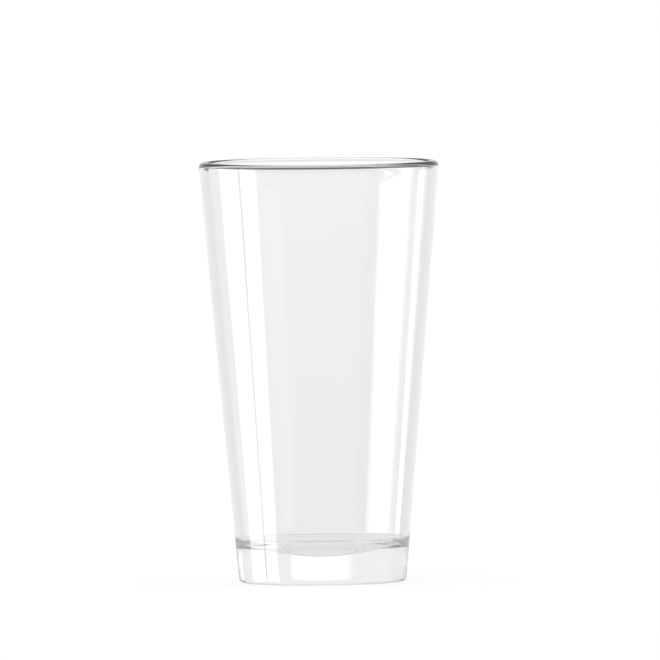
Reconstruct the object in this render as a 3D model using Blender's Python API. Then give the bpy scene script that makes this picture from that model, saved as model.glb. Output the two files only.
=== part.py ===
"""Bar mixing glass (the glass half of a two-piece cocktail shaker), 16 US fl oz.

One pressed and toughened soda-lime tumbler, modelled as the single piece of
glass that it is: a straight-sided cone that opens upwards, a fully rounded
rim, a thick even wall, a heavy solid base (the "sham") under a flat floor with
a shallow round recess in its middle, a rounded heel, and a flat bearing ring
around a very shallow push-up underneath.

Frame: metres, +Z up.  The origin is the centre of the bearing ring, on the
surface that the glass stands on; +Z is the axis of the glass.
Run with:  blender --background --python part.py
"""

import math

import bmesh
import bpy

MM = 0.001

# ---- driving dimensions -------------------------------------------------
HEIGHT = 149.2 * MM          # standing surface to the top of the rim (5 7/8 in)
RIM_R = 42.6 * MM            # largest outer radius, at the rounded rim
FOOT_R = 29.65 * MM          # outer cone, produced down to the standing surface
WALL_RIM = 3.4 * MM          # thickness of the wall at the rim: the rim is a half round of this
WALL_LOW = 3.4 * MM          # horizontal thickness of the wall at WALL_LOW_Z
WALL_LOW_Z = 18.0 * MM       # height at which WALL_LOW holds
FLOOR_Z = 12.4 * MM          # flat part of the floor above the standing surface
RECESS_R = 14.0 * MM         # radius of the round recess in the middle of the floor
RECESS_D = 2.2 * MM          # depth of the recess on the axis
RECESS_P = 1.3               # its shape: 1 is a parabola with a sharp edge, more is softer
FILLET_R = 4.3 * MM          # fillet between the flat floor and the wall
HEEL_R = 1.4 * MM            # rounded heel between the side and the bearing ring
BEARING_W = 4.5 * MM         # width of the flat bearing ring
PUSH_UP = 0.6 * MM           # height of the push-up, on the axis

# ---- facets -------------------------------------------------------------
SEGMENTS = 72                # around the axis
RIM_STEPS = 10               # over the rounded rim
WALL_STEPS = 3               # bands along each straight wall
FILLET_STEPS = 7             # floor fillet
RECESS_STEPS = 7             # recess in the floor
HEEL_STEPS = 5               # heel
RING_STEPS = 1               # bearing ring
PUSH_STEPS = 4               # push-up


def arc(cr, cz, radius, a0, a1, steps):
    """Points of an arc in the (r, z) half plane; angles in radians."""
    return [(cr + radius * math.cos(a0 + (a1 - a0) * i / steps),
             cz + radius * math.sin(a0 + (a1 - a0) * i / steps))
            for i in range(steps + 1)]


def between(p, q, steps):
    """Points strictly inside a straight run from p to q."""
    return [(p[0] + (q[0] - p[0]) * i / steps,
             p[1] + (q[1] - p[1]) * i / steps) for i in range(1, steps)]


def lean_of_tangent(point, centre, radius, side):
    """Lean from the vertical of the line that runs up from point and touches
    a circle on its outer side (side=+1) or on its inner side (side=-1)."""
    dr, dz = centre[0] - point[0], centre[1] - point[1]
    reach = math.hypot(dr, dz)
    return math.pi / 2.0 - (math.atan2(dz, dr) - side * math.asin(radius / reach))


def recess_z(r):
    """Height of the floor's recess at radius r."""
    return FLOOR_Z - RECESS_D * max(0.0, 1.0 - (r / RECESS_R) ** 2) ** RECESS_P


def profile():
    """Half section of the glass: from the centre of the floor, up the inside,
    over the rim, down the outside, and under the foot to the axis again."""
    half = WALL_RIM / 2.0
    rim_c = (RIM_R - half, HEIGHT - half)

    # Outer cone touches the rim's round; inner cone does too, further in.
    lean_out = lean_of_tangent((FOOT_R, 0.0), rim_c, half, +1)
    low = (FOOT_R + math.tan(lean_out) * WALL_LOW_Z - WALL_LOW, WALL_LOW_Z)
    lean_in = lean_of_tangent(low, rim_c, half, -1)
    rim = (arc(rim_c[0], rim_c[1], half, math.pi - lean_in, math.pi / 2.0, RIM_STEPS // 2)
           + arc(rim_c[0], rim_c[1], half, math.pi / 2.0, 0.0, RIM_STEPS // 2)[1:]
           + arc(rim_c[0], rim_c[1], half, 0.0, -lean_out, 1)[1:])

    # Heel: touches the outer cone and the standing surface.
    heel_r = FOOT_R - HEEL_R * (1.0 - math.sin(lean_out)) / math.cos(lean_out)
    heel = arc(heel_r, HEEL_R, HEEL_R, -lean_out, -math.pi / 2.0, HEEL_STEPS)

    # Bearing ring, then a shallow spherical push-up that ends on the axis.
    ring_in = heel_r - BEARING_W
    ball = (ring_in ** 2 + PUSH_UP ** 2) / (2.0 * PUSH_UP)
    open_a = math.asin(ring_in / ball)
    push = [(ball * math.sin(open_a * (1.0 - i / PUSH_STEPS)),
             PUSH_UP - ball + ball * math.cos(open_a * (1.0 - i / PUSH_STEPS)))
            for i in range(PUSH_STEPS)] + [(0.0, PUSH_UP)]

    # Fillet: touches the flat floor and the inner cone.
    along = (math.sin(lean_in), math.cos(lean_in))
    inward = (-math.cos(lean_in), math.sin(lean_in))
    t = (FLOOR_Z + FILLET_R - low[1] - FILLET_R * inward[1]) / along[1]
    fil_c = (low[0] + FILLET_R * inward[0] + t * along[0], FLOOR_Z + FILLET_R)
    fillet = arc(fil_c[0], fil_c[1], FILLET_R, -math.pi / 2.0, -lean_in, FILLET_STEPS)

    # Recess: deepest on the axis, running out into the flat floor at RECESS_R.
    recess = [(RECESS_R * i / RECESS_STEPS, recess_z(RECESS_R * i / RECESS_STEPS))
              for i in range(RECESS_STEPS + 1)]

    return (recess + fillet
            + between(fillet[-1], rim[0], WALL_STEPS) + rim
            + between(rim[-1], heel[0], WALL_STEPS) + heel
            + between(heel[-1], push[0], RING_STEPS) + push)


def turned(name, section, segments):
    """Spin a half section once around Z into one closed body."""
    bm = bmesh.new()
    verts = [bm.verts.new((r, 0.0, z)) for r, z in section]
    edges = [bm.edges.new((a, b)) for a, b in zip(verts, verts[1:])]
    bmesh.ops.spin(bm, geom=verts + edges, cent=(0.0, 0.0, 0.0),
                   axis=(0.0, 0.0, 1.0), dvec=(0.0, 0.0, 0.0),
                   angle=2.0 * math.pi, steps=segments, use_duplicate=False)
    bmesh.ops.remove_doubles(bm, verts=bm.verts[:], dist=1e-6)
    bmesh.ops.dissolve_degenerate(bm, edges=bm.edges[:], dist=1e-7)
    bmesh.ops.recalc_face_normals(bm, faces=bm.faces[:])
    mesh = bpy.data.meshes.new(name)
    bm.to_mesh(mesh)
    bm.free()
    mesh.shade_smooth()
    mesh.set_sharp_from_angle(angle=math.radians(40.0))
    return mesh


def clear_glass():
    """Colourless soda-lime glass."""
    mat = bpy.data.materials.new("clear_glass")
    mat.use_nodes = True
    shader = mat.node_tree.nodes["Principled BSDF"]
    shader.inputs["Base Color"].default_value = (0.965, 0.985, 0.975, 1.0)
    shader.inputs["Metallic"].default_value = 0.0
    shader.inputs["Roughness"].default_value = 0.02
    shader.inputs["IOR"].default_value = 1.52
    shader.inputs["Transmission Weight"].default_value = 1.0
    return mat


def main():
    for obj in list(bpy.data.objects):
        bpy.data.objects.remove(obj, do_unlink=True)

    glass = bpy.data.objects.new("glass_body", turned("glass_body", profile(), SEGMENTS))
    glass.data.materials.append(clear_glass())
    bpy.context.collection.objects.link(glass)


main()
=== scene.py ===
"""Looks of the bar mixing glass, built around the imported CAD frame.

One pressed glass, turned finely from the same half section as the CAD node,
with the slight unevenness of pressed and fire-polished walls, standing on a
plain pale table in a white photo studio.
"""

import math

import bmesh
import bpy
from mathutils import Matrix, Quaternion, Vector, noise


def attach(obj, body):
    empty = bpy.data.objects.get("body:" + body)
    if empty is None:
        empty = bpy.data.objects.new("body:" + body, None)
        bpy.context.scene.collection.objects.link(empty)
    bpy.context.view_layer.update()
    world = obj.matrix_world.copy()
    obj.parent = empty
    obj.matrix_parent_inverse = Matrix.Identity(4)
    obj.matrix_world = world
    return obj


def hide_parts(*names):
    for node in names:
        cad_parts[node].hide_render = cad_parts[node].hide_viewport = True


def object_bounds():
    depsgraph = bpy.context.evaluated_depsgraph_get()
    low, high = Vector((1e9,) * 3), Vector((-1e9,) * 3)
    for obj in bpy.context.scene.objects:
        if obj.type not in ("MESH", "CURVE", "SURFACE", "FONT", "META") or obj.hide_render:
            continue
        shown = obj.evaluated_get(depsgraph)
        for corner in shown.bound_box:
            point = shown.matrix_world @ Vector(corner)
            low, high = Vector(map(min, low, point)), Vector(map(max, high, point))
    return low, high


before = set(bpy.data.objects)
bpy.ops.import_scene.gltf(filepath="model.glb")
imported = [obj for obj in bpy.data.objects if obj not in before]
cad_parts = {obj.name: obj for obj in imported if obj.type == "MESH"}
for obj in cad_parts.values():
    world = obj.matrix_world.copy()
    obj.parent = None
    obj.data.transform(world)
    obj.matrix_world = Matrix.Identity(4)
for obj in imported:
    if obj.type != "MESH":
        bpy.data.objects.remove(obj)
cad_lo, cad_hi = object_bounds()

MM = 0.001

# ---------------------------------------------------------------- the glass
# The same section as the CAD node, turned finely.  Height and rim radius are
# read from the node; the rest of the section repeats the design's sizes.
HEIGHT = cad_hi.z - cad_lo.z
RIM_R = (cad_hi.x - cad_lo.x) / 2.0
FOOT_R = 29.65 * MM
WALL_RIM = 3.4 * MM
WALL_LOW = 3.4 * MM
WALL_LOW_Z = 18.0 * MM
FLOOR_Z = 12.4 * MM
RECESS_R = 14.0 * MM
RECESS_D = 2.2 * MM
RECESS_P = 1.3
FILLET_R = 4.3 * MM
HEEL_R = 1.4 * MM
BEARING_W = 4.5 * MM
PUSH_UP = 0.6 * MM

SEGMENTS = 360
WAVE = 0.014 * MM            # how far the walls stray from the true cone


def arc(cr, cz, radius, a0, a1, steps):
    return [(cr + radius * math.cos(a0 + (a1 - a0) * i / steps),
             cz + radius * math.sin(a0 + (a1 - a0) * i / steps))
            for i in range(steps + 1)]


def between(p, q, steps):
    return [(p[0] + (q[0] - p[0]) * i / steps,
             p[1] + (q[1] - p[1]) * i / steps) for i in range(1, steps)]


def lean_of_tangent(point, centre, radius, side):
    dr, dz = centre[0] - point[0], centre[1] - point[1]
    reach = math.hypot(dr, dz)
    return math.pi / 2.0 - (math.atan2(dz, dr) - side * math.asin(radius / reach))


def recess_z(r):
    return FLOOR_Z - RECESS_D * max(0.0, 1.0 - (r / RECESS_R) ** 2) ** RECESS_P


def section():
    """Half section from the centre of the floor over the rim to the centre
    of the underside."""
    half = WALL_RIM / 2.0
    rim_c = (RIM_R - half, HEIGHT - half)
    lean_out = lean_of_tangent((FOOT_R, 0.0), rim_c, half, +1)
    low = (FOOT_R + math.tan(lean_out) * WALL_LOW_Z - WALL_LOW, WALL_LOW_Z)
    lean_in = lean_of_tangent(low, rim_c, half, -1)
    rim = arc(rim_c[0], rim_c[1], half, math.pi - lean_in, -lean_out, 36)

    heel_r = FOOT_R - HEEL_R * (1.0 - math.sin(lean_out)) / math.cos(lean_out)
    heel = arc(heel_r, HEEL_R, HEEL_R, -lean_out, -math.pi / 2.0, 16)

    ring_in = heel_r - BEARING_W
    ball = (ring_in ** 2 + PUSH_UP ** 2) / (2.0 * PUSH_UP)
    open_a = math.asin(ring_in / ball)
    push = [(ball * math.sin(open_a * (1.0 - i / 16)),
             PUSH_UP - ball + ball * math.cos(open_a * (1.0 - i / 16)))
            for i in range(16)] + [(0.0, PUSH_UP)]

    along = (math.sin(lean_in), math.cos(lean_in))
    inward = (-math.cos(lean_in), math.sin(lean_in))
    t = (FLOOR_Z + FILLET_R - low[1] - FILLET_R * inward[1]) / along[1]
    fil_c = (low[0] + FILLET_R * inward[0] + t * along[0], FLOOR_Z + FILLET_R)
    fillet = arc(fil_c[0], fil_c[1], FILLET_R, -math.pi / 2.0, -lean_in, 24)

    recess = [(RECESS_R * i / 28, recess_z(RECESS_R * i / 28)) for i in range(29)]
    flat = between(recess[-1], fillet[0], 4)
    return (recess + flat + fillet + between(fillet[-1], rim[0], 70) + rim
            + between(rim[-1], heel[0], 76) + heel
            + between(heel[-1], push[0], 4) + push)


def uneven(x, y, z, r):
    """Radial stray of a wall point: long soft waves, a little taller than
    they are wide, dying out towards the rim and the foot."""
    keep = min(1.0, max(0.0, (HEIGHT - 6 * MM - z) / (10 * MM)))
    keep *= min(1.0, max(0.0, (z - 16 * MM) / (10 * MM)))
    if keep == 0.0:
        return 0.0
    inside = 7.0 if r < FOOT_R + (RIM_R - FOOT_R) * z / HEIGHT - 1.8 * MM else 0.0
    p = Vector((x / (17 * MM), y / (17 * MM) + inside, z / (34 * MM)))
    return WAVE * keep * noise.noise(p)


def turned(name, pts, segments):
    bm = bmesh.new()
    rings = []
    for r, z in pts:
        if r < 1e-7:
            rings.append([bm.verts.new((0.0, 0.0, z))])
            continue
        ring = []
        for k in range(segments):
            c, s = (math.cos(2 * math.pi * k / segments),
                    math.sin(2 * math.pi * k / segments))
            rr = r + uneven(r * c, r * s, z, r)
            ring.append(bm.verts.new((rr * c, rr * s, z)))
        rings.append(ring)
    for a, b in zip(rings, rings[1:]):
        for k in range(segments):
            j = (k + 1) % segments
            if len(a) == 1:
                bm.faces.new((a[0], b[k], b[j]))
            elif len(b) == 1:
                bm.faces.new((a[k], b[0], a[j]))
            else:
                bm.faces.new((a[k], b[k], b[j], a[j]))
    bmesh.ops.recalc_face_normals(bm, faces=bm.faces[:])
    mesh = bpy.data.meshes.new(name)
    bm.to_mesh(mesh)
    bm.free()
    mesh.shade_smooth()
    return mesh


glass = bpy.data.objects.new("mixing_glass", turned("mixing_glass", section(), SEGMENTS))
bpy.context.scene.collection.objects.link(glass)
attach(glass, "root")
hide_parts("glass_body")


# ------------------------------------------------------------ node shorthand
class Graph:
    """A few one-line makers of math nodes for one node tree."""

    def __init__(self, tree):
        self.t = tree
        self.n = 0

    def node(self, kind, **props):
        nd = self.t.nodes.new(kind)
        for k, v in props.items():
            setattr(nd, k, v)
        self.n += 1
        nd.location = (-220 * (self.n // 12 + 1), -120 * (self.n % 12))
        return nd

    def put(self, value, socket):
        if isinstance(value, (int, float)):
            socket.default_value = value
        else:
            self.t.links.new(value, socket)

    def math(self, op, a, b=None, c=None, clamp=False):
        nd = self.node("ShaderNodeMath", operation=op, use_clamp=clamp)
        for i, v in enumerate((a, b, c)):
            if v is not None:
                self.put(v, nd.inputs[i])
        return nd.outputs[0]

    def add(self, a, b):
        return self.math("ADD", a, b)

    def sub(self, a, b):
        return self.math("SUBTRACT", a, b)

    def mul(self, a, b):
        return self.math("MULTIPLY", a, b)

    def step(self, x, a, b):
        """Smooth step from 0 at a to 1 at b; a may be above b."""
        nd = self.node("ShaderNodeMapRange", interpolation_type="SMOOTHSTEP")
        self.put(x, nd.inputs["Value"])
        self.put(float(a), nd.inputs["From Min"])
        self.put(float(b), nd.inputs["From Max"])
        return nd.outputs["Result"]

    def window(self, x, a, b, painted_glow):
        return self.mul(self.step(x, a - painted_glow / 2.0, a + painted_glow / 2.0),
                        self.step(x, b + painted_glow / 2.0, b - painted_glow / 2.0))

    def line(self, x, pts):
        """Piecewise linear function of x through pts."""
        total = None
        for (x0, y0), (x1, y1) in zip(pts, pts[1:]):
            if total is not None and abs(y1 - y0) < 1e-9:
                continue
            nd = self.node("ShaderNodeMapRange", interpolation_type="LINEAR")
            self.put(x, nd.inputs["Value"])
            nd.inputs["From Min"].default_value = x0
            nd.inputs["From Max"].default_value = x1
            nd.inputs["To Min"].default_value = y0 if total is None else 0.0
            nd.inputs["To Max"].default_value = y1 if total is None else y1 - y0
            out = nd.outputs["Result"]
            total = out if total is None else self.add(total, out)
        return total

    def mix(self, a, b, t):
        """a where t is 0, b where t is 1."""
        nd = self.node("ShaderNodeMix", data_type="FLOAT", clamp_factor=True)
        self.put(t, nd.inputs["Factor"])
        self.put(a, nd.inputs["A"])
        self.put(b, nd.inputs["B"])
        return nd.outputs["Result"]


# ------------------------------------------------------------- its material
def glass_material():
    """Clear soda-lime glass: polished, with faint wiping marks and dull patches
    in its gloss and the soft ripple and small grains of a pressed surface."""
    mat = bpy.data.materials.new("clear_glass")
    mat.use_nodes = True
    nt = mat.node_tree
    g = Graph(nt)
    bsdf = nt.nodes["Principled BSDF"]
    bsdf.inputs["Base Color"].default_value = (1.0, 1.0, 1.0, 1.0)
    bsdf.inputs["Metallic"].default_value = 0.0
    bsdf.inputs["IOR"].default_value = 1.52
    bsdf.inputs["Transmission Weight"].default_value = 1.0

    coord = g.node("ShaderNodeTexCoord").outputs["Object"]

    # wiping marks: long, soft, leaning streaks, seen only as a change of gloss
    lay = g.node("ShaderNodeMapping")
    lay.inputs["Scale"].default_value = (60.0, 60.0, 9.0)
    lay.inputs["Rotation"].default_value = (0.35, 0.20, 0.0)
    nt.links.new(coord, lay.inputs["Vector"])
    wipe = g.node("ShaderNodeTexNoise", noise_dimensions="3D")
    wipe.inputs["Scale"].default_value = 1.0
    wipe.inputs["Detail"].default_value = 4.0
    wipe.inputs["Roughness"].default_value = 0.6
    wipe.inputs["Distortion"].default_value = 0.6
    nt.links.new(lay.outputs["Vector"], wipe.inputs["Vector"])
    smear = g.step(wipe.outputs["Fac"], 0.56, 0.78)

    # fingertip-sized dull patches
    spot = g.node("ShaderNodeTexNoise", noise_dimensions="3D")
    spot.inputs["Scale"].default_value = 38.0
    spot.inputs["Detail"].default_value = 3.0
    nt.links.new(coord, spot.inputs["Vector"])
    patch = g.step(spot.outputs["Fac"], 0.60, 0.72)

    rough = g.add(0.002, g.mul(smear, 0.010))
    rough = g.add(rough, g.mul(patch, 0.008))
    nt.links.new(rough, bsdf.inputs["Roughness"])

    # ripple of the pressed surface and small grains on it
    ripple = g.node("ShaderNodeTexNoise", noise_dimensions="3D")
    ripple.inputs["Scale"].default_value = 70.0
    ripple.inputs["Detail"].default_value = 2.0
    nt.links.new(coord, ripple.inputs["Vector"])
    grain = g.node("ShaderNodeTexVoronoi", feature="F1")
    grain.inputs["Scale"].default_value = 120.0
    grain.inputs["Randomness"].default_value = 1.0
    nt.links.new(coord, grain.inputs["Vector"])
    seed = g.step(grain.outputs["Distance"], 0.045, 0.0)
    height = g.add(g.mul(ripple.outputs["Fac"], 0.9), g.mul(seed, 0.35))
    bump = g.node("ShaderNodeBump")
    bump.inputs["Strength"].default_value = 0.35
    bump.inputs["Distance"].default_value = 0.00001
    nt.links.new(height, bump.inputs["Height"])
    nt.links.new(bump.outputs["Normal"], bsdf.inputs["Normal"])

    # the faint colour of soda-lime glass, only seen through its thick parts
    absorb = g.node("ShaderNodeVolumeAbsorption")
    absorb.inputs["Color"].default_value = (0.948, 0.952, 0.950, 1.0)
    absorb.inputs["Density"].default_value = 40.0
    nt.links.new(absorb.outputs["Volume"], nt.nodes["Material Output"].inputs["Volume"])
    return mat


glass.data.materials.append(glass_material())


# ------------------------------------------------------------------ the table
NEAR_R = 0.165               # round of table under the glass that is seen through it


def table_material(name, seen_through):
    """Pale table top; it is lifted to a paper white for the camera."""
    mat = bpy.data.materials.new(name)
    mat.use_nodes = True
    nt = mat.node_tree
    g = Graph(nt)
    for nd in list(nt.nodes):
        nt.nodes.remove(nd)
    out = g.node("ShaderNodeOutputMaterial")
    coord = g.node("ShaderNodeTexCoord").outputs["Object"]
    fine = g.node("ShaderNodeTexNoise", noise_dimensions="3D")
    fine.inputs["Scale"].default_value = 9.0
    nt.links.new(coord, fine.inputs["Vector"])
    path = g.node("ShaderNodeLightPath")
    own = g.mix(0.93, 0.20, path.outputs["Is Camera Ray"])
    tone = g.mul(own, g.add(0.99, g.mul(fine.outputs["Fac"], 0.02)))
    paint = g.node("ShaderNodeBsdfDiffuse")
    both = g.node("ShaderNodeCombineColor")
    for s in both.inputs:
        if s.type == "VALUE":
            nt.links.new(tone, s)
    nt.links.new(both.outputs["Color"], paint.inputs["Color"])
    lift = g.node("ShaderNodeEmission")
    lift.inputs["Color"].default_value = (1.0, 1.0, 1.0, 1.0)
    nt.links.new(g.mul(path.outputs["Is Camera Ray"], 0.82), lift.inputs["Strength"])
    top = g.node("ShaderNodeAddShader")
    nt.links.new(paint.outputs["BSDF"], top.inputs[0])
    nt.links.new(lift.outputs["Emission"], top.inputs[1])
    surface = top.outputs["Shader"]
    if seen_through:
        # seen through the glass the near table is not lit but glows; the strength of the glow is
        # painted light and shade
        sep = g.node("ShaderNodeSeparateXYZ")
        nt.links.new(coord, sep.inputs["Vector"])
        r = g.math("SQRT", g.add(g.mul(sep.outputs["X"], sep.outputs["X"]),
                                 g.mul(sep.outputs["Y"], sep.outputs["Y"])))
        away = g.math("MAXIMUM", g.sub(r, 0.028), 0.0)
        # painted pool of light round the foot, brightest at its edge and fading over about 12 mm
        painted_light_level = g.add(0.80, g.mul(0.08, g.math("EXPONENT", g.mul(away, -1.0 / 0.012))))
        # under the foot: painted shade, with a painted pool of light on the left that stands
        # for what the base gathers from the soft box
        under = g.mix(0.75, 0.90, g.step(sep.outputs["X"], -0.0165, -0.0195))
        painted_light_level = g.mix(under, painted_light_level, g.step(r, 0.0282, 0.0288))
        painted_glow = g.node("ShaderNodeEmission")
        nt.links.new(painted_light_level, painted_glow.inputs["Strength"])
        clear = g.node("ShaderNodeBsdfTransparent")
        fade = g.node("ShaderNodeMixShader")
        nt.links.new(g.step(r, 0.112, NEAR_R), fade.inputs[0])
        nt.links.new(painted_glow.outputs["Emission"], fade.inputs[1])
        nt.links.new(clear.outputs["BSDF"], fade.inputs[2])
        pick = g.node("ShaderNodeMixShader")
        nt.links.new(path.outputs["Is Transmission Ray"], pick.inputs[0])
        nt.links.new(surface, pick.inputs[1])
        nt.links.new(fade.outputs["Shader"], pick.inputs[2])
        surface = pick.outputs["Shader"]
    nt.links.new(surface, out.inputs["Surface"])
    return mat


def table_part(name, r_in, r_out, seen_through):
    bm = bmesh.new()
    steps = 96
    inner = [bm.verts.new((r_in * math.cos(2 * math.pi * k / steps),
                           r_in * math.sin(2 * math.pi * k / steps), 0.0))
             for k in range(steps)] if r_in else [bm.verts.new((0.0, 0.0, 0.0))]
    outer = [bm.verts.new((r_out * math.cos(2 * math.pi * k / steps),
                           r_out * math.sin(2 * math.pi * k / steps), 0.0))
             for k in range(steps)]
    for k in range(steps):
        j = (k + 1) % steps
        if r_in:
            bm.faces.new((inner[k], outer[k], outer[j], inner[j]))
        else:
            bm.faces.new((inner[0], outer[k], outer[j]))
    mesh = bpy.data.meshes.new(name)
    bm.to_mesh(mesh)
    bm.free()
    ob = bpy.data.objects.new(name, mesh)
    ob.location = (0.0, 0.0, cad_lo.z - 0.02 * MM)
    mesh.materials.append(table_material(name, seen_through))
    ob.visible_glossy = False
    ob.visible_transmission = seen_through
    bpy.context.scene.collection.objects.link(ob)
    return ob


table_part("table_near", 0.0, NEAR_R, True)
table_part("table_far", NEAR_R, 40.0, False)


# ----------------------------------------------------------------- the studio
# Everything the glass mirrors and bends is a soft white studio, written by
# direction: A is the compass angle in degrees (0 towards the camera, 90 to its
# left, 180 behind the glass, 270 to its right) and el the height above the
# horizon.  A tall soft box stands on the left, the back wall is pale, and a
# darker floor lies far behind the glass.
world = bpy.data.worlds.new("studio")
bpy.context.scene.world = world
world.use_nodes = True
wt = world.node_tree
W = Graph(wt)

sep = W.node("ShaderNodeSeparateXYZ")
wt.links.new(W.node("ShaderNodeTexCoord").outputs["Generated"], sep.inputs["Vector"])
dx, dy, dz = sep.outputs
el = W.mul(W.math("ARCSINE", dz), 180.0 / math.pi)
A = W.mul(W.math("ARCTAN2", W.mul(dx, -1.0), W.mul(dy, -1.0)), 180.0 / math.pi)
A = W.math("FLOORED_MODULO", A, 360.0)
behind = W.math("ABSOLUTE", W.sub(A, 180.0))
path = W.node("ShaderNodeLightPath")

HIGH = [(-3, 0.865), (-2, 0.93), (-1, 0.95), (0, 0.93), (2, 0.90), (8, 0.90),
        (25, 0.88), (33, 0.80), (42, 0.80), (60, 0.90), (90, 0.90)]
back = W.line(el, [(-90, 0.72), (-65, 0.80), (-58, 1.00), (-35, 1.00), (-28, 0.92),
                   (-17, 0.74), (-10, 0.92), (-4, 0.98), (-2.4, 1.07), (0.9, 1.07),
                   (1.9, 0.90), (8, 0.90), (25, 0.88), (33, 0.80), (42, 0.80),
                   (60, 0.90), (90, 0.90)])
dark = W.line(el, [(-70, 0.30), (-62, 0.08), (-44, 0.08), (-40, 0.16), (-36, 0.36),
                   (-32, 0.54), (-28, 0.62), (-25, 0.56), (-22, 0.36), (-20, 0.16),
                   (-18, 0.06), (-15, 0.03), (-12, 0.04), (-10.5, 0.16), (-8.5, 0.50),
                   (-6.2, 0.80), (-5.2, 0.95), (-4.5, 0.95), (-4.0, 0.87),
                   (-3.5, 0.86)] + HIGH)
dark_right = W.line(el, [(-70, 0.30), (-60, 0.12), (-12, 0.12), (-9, 0.30), (-7.6, 0.62),
                         (-6.8, 0.79), (-5, 0.80), (-4, 0.82)] + HIGH)
side = W.line(el, [(-90, 0.75), (-12, 0.78), (-6.5, 0.79), (-5, 0.80), (-4, 0.82),
                   (-3, 0.865), (-2, 0.93), (-1, 0.95), (0, 0.93), (2, 0.90),
                   (25, 0.88), (33, 0.85), (90, 0.90)])
front = W.line(el, [(-5, 0.70), (3, 0.50)])


def room(deep):
    """The plain room; deep is 1 on light that has crossed two walls."""
    v = W.mix(side, dark, W.mul(deep, W.mul(W.step(A, 138.0, 152.0),
                                            W.step(A, 224.0, 216.0))))
    v = W.mix(v, back, W.mul(W.sub(1.0, deep), W.step(behind, 20.0, 14.0)))
    edge = W.line(el, [(-27.0, 212.0), (-20.0, 197.0)])
    edge = W.mix(edge, 192.0, deep)
    right = W.mul(W.step(W.sub(A, edge), -4.0, 4.0), W.step(A, 258.0, 246.0))
    v = W.mix(v, dark_right, right)
    one = W.sub(1.0, deep)
    v = W.mix(v, 0.82, W.mul(one, W.mul(W.window(A, 184.0, 207.0, 4.0),
                                        W.window(el, -4.7, -2.6, 0.3))))
    v = W.mix(v, 0.80, W.mul(one, W.mul(W.window(A, 157.0, 174.0, 4.0),
                                        W.window(el, -4.7, -2.8, 0.3))))
    v = W.mix(v, 0.12, W.mul(one, W.mul(W.window(A, 143.0, 157.0, 4.0),
                                        W.window(el, -21.0, -7.5, 1.0))))
    return W.mix(v, front, W.step(behind, 100.0, 125.0))


# seen through the glass
deep = W.step(path.outputs["Transmission Depth"], 2.5, 3.5)
T = W.mul(room(deep), W.add(1.012, W.mul(W.step(el, 0.4, 1.2), 0.093)))
T = W.mix(T, 1.20, W.mul(W.mul(W.step(A, 163.5, 170.5), W.step(A, 196.2, 193.4)),
                         W.window(el, 1.0, 3.2, 0.6)))
far = W.add(127.2, W.mul(el, -2.0))
top = W.sub(7.1 + 71.0 * 0.045, W.mul(A, 0.045))
box = W.mul(W.mul(W.step(A, 69.6, 72.4), W.step(W.sub(A, far), 1.3, -1.3)),
            W.mul(W.step(el, -1.5, 0.5), W.step(W.sub(el, top), 0.2, -0.2)))
box = W.mul(box, deep)
T = W.mix(T, 3.2, box)
T = W.mix(T, 0.30, W.mul(W.window(A, 50.0, 66.5, 5.0), W.window(el, 2.0, 9.0, 2.0)))
T = W.mix(T, 2.3, W.mul(W.window(A, 227.5, 238.5, 3.0), W.window(el, -8.8, -5.6, 0.5)))
T = W.mix(T, 1.33, W.mul(W.window(A, 243.0, 257.0, 3.0), W.window(el, 5.5, 7.2, 0.4)))
T = W.mix(T, 1.0, W.mul(W.window(A, 296.0, 318.0, 10.0), W.window(el, 5.6, 7.4, 0.6)))

low_box = W.mul(W.window(A, 67.0, 97.0, 3.0), W.window(el, -27.0, -5.5, 2.0))
T = W.mix(T, 1.3, low_box)
gap = W.sub(A, W.add(89.3 - 9.3 * 1.7, W.mul(el, -1.7)))
T = W.mix(T, 0.3, W.mul(low_box, W.window(gap, -1.5, 1.5, 0.6)))
# the joint in the back wall, a little darker than the wall
seam = W.sub(A, W.add(175.4 + 2.22 * 2.0, W.mul(el, 2.0)))
seam = W.mul(W.window(seam, -0.10, 0.10, 0.08), W.window(el, -3.5, -2.0, 0.2))
seam = W.math("MAXIMUM", seam, W.mul(W.window(A, 210.5, 211.9, 0.4), W.window(el, 2.9, 3.7, 0.2)))
T = W.mix(T, 0.83, seam)

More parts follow.
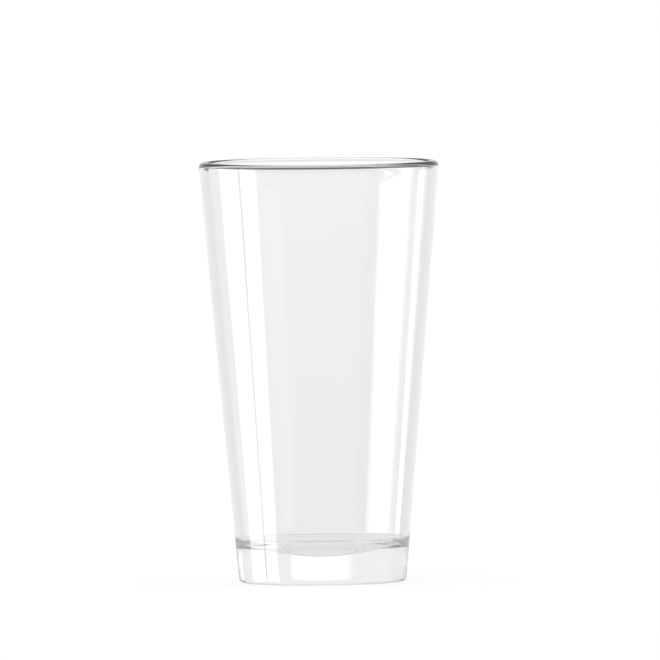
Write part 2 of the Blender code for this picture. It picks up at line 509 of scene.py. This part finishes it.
# mirrored by its outer face
G = room(0.0)
lean = W.add(A, W.mul(el, -0.45))
card = W.mul(W.window(lean, 68.6, 115.6, 3.0),
             W.mul(W.step(el, -18.0, -16.0), W.step(el, 6.0, 4.0)))
G = W.mix(G, 4.6, card)
G = W.mix(G, 0.02, W.mul(card, W.window(A, 82.7, 85.1, 0.5)))

G = W.mix(G, 0.45, W.mul(W.window(A, 150.0, 215.0, 10.0), W.window(el, 14.0, 60.0, 8.0)))
G = W.mix(G, 0.60, W.mul(W.window(A, 205.0, 250.0, 10.0), W.window(el, 2.5, 60.0, 2.0)))

glossy = W.mul(path.outputs["Is Glossy Ray"], W.sub(1.0, path.outputs["Is Transmission Ray"]))
light = W.mix(1.0, T, path.outputs["Is Transmission Ray"])
light = W.mix(light, G, glossy)
light = W.mix(light, 1.0, path.outputs["Is Camera Ray"])
wt.nodes["Background"].inputs["Color"].default_value = (1.0, 1.0, 1.0, 1.0)
wt.links.new(light, wt.nodes["Background"].inputs["Strength"])

# ------------------------------------------------------------------- camera
# Near level, long lens, rolled a little as the object is seen.
AIM = Vector((3.4701 * MM, 0.0, 89.2377 * MM))
DIST = 8.0
ELEV = math.radians(2.35)
ROLL = math.radians(0.5906)
LENS = 1230.1

cam_data = bpy.data.cameras.new("camera")
cam_data.lens = LENS
cam_data.sensor_width = 36.0
cam_data.clip_start = 0.05
cam_data.clip_end = 400.0
cam = bpy.data.objects.new("camera", cam_data)
bpy.context.scene.collection.objects.link(cam)
back_dir = Vector((0.0, -math.cos(ELEV), math.sin(ELEV)))
cam.location = AIM + back_dir * DIST
cam.rotation_mode = "QUATERNION"
quat = (-back_dir).to_track_quat("-Z", "Y")
cam.rotation_quaternion = quat @ Quaternion((0.0, 0.0, 1.0), -ROLL)
bpy.context.scene.camera = cam

# ------------------------------------------------------------------ rendering
scene = bpy.context.scene
scene.view_settings.view_transform = "Standard"
scene.view_settings.look = "None"
scene.cycles.max_bounces = 64
scene.cycles.transmission_bounces = 64
scene.cycles.glossy_bounces = 64
scene.cycles.use_denoising = True
